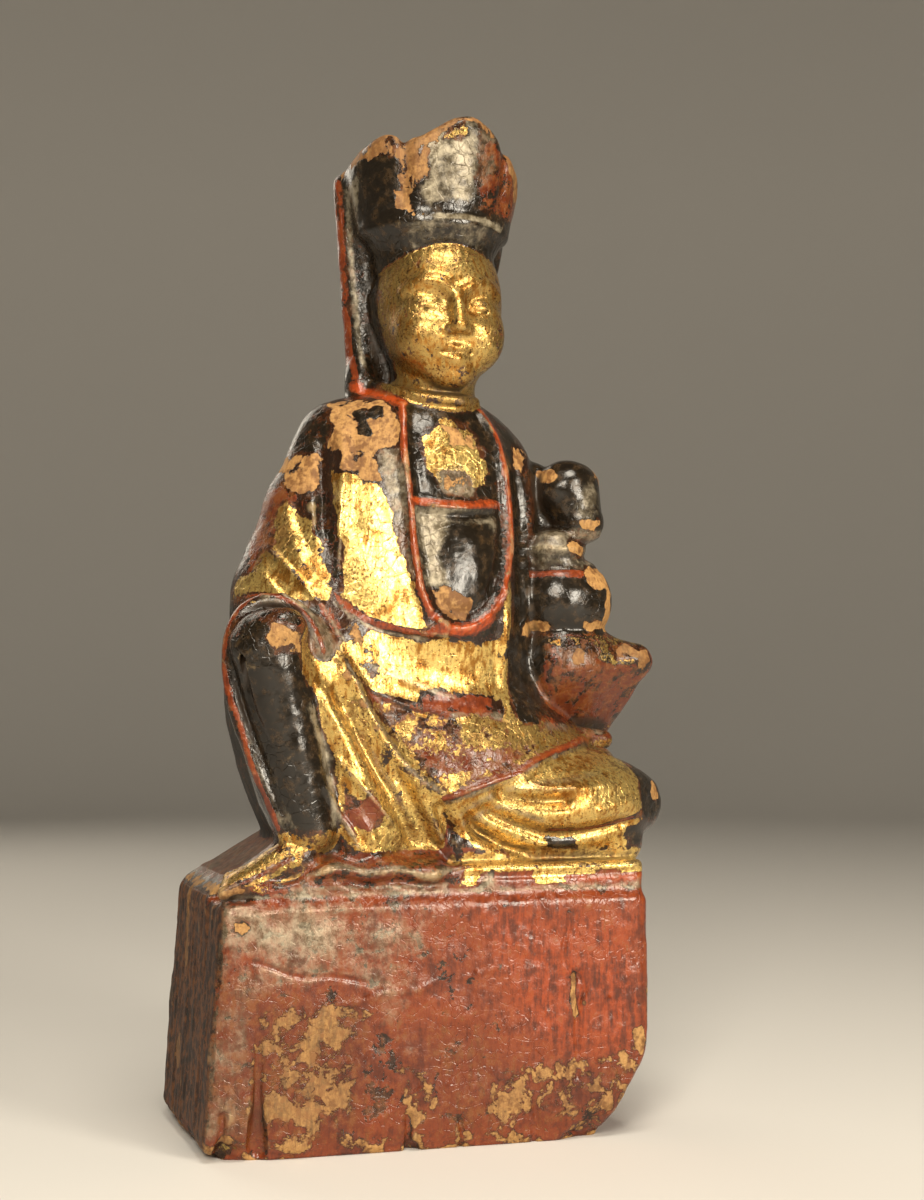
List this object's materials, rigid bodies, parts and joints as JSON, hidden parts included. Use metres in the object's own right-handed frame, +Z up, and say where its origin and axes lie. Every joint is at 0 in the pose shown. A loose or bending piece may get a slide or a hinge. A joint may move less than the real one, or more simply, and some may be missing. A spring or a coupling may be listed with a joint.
{
  "type": "guanyin statuette",
  "caption": "Seated guanyin in a tall lobed crown and veil, one knee raised, holding a child, carved with its squared block base from one piece of wood; worn red, black and gold lacquer.",
  "frame": {"origin": "centre of the block's flat underside", "axes": "+Z up; -Y is the front the figure faces; +X is the viewer's right, where the child sits"},
  "size_m": [0.1435, 0.0764, 0.3],
  "materials": {
    "lacquered_wood": "worn red, black and gold lacquer over a tan ground, satin to glossy"
  },
  "bodies": {
    "root": {"carved_figure": "lacquered_wood"}
  },
  "joints": []
}
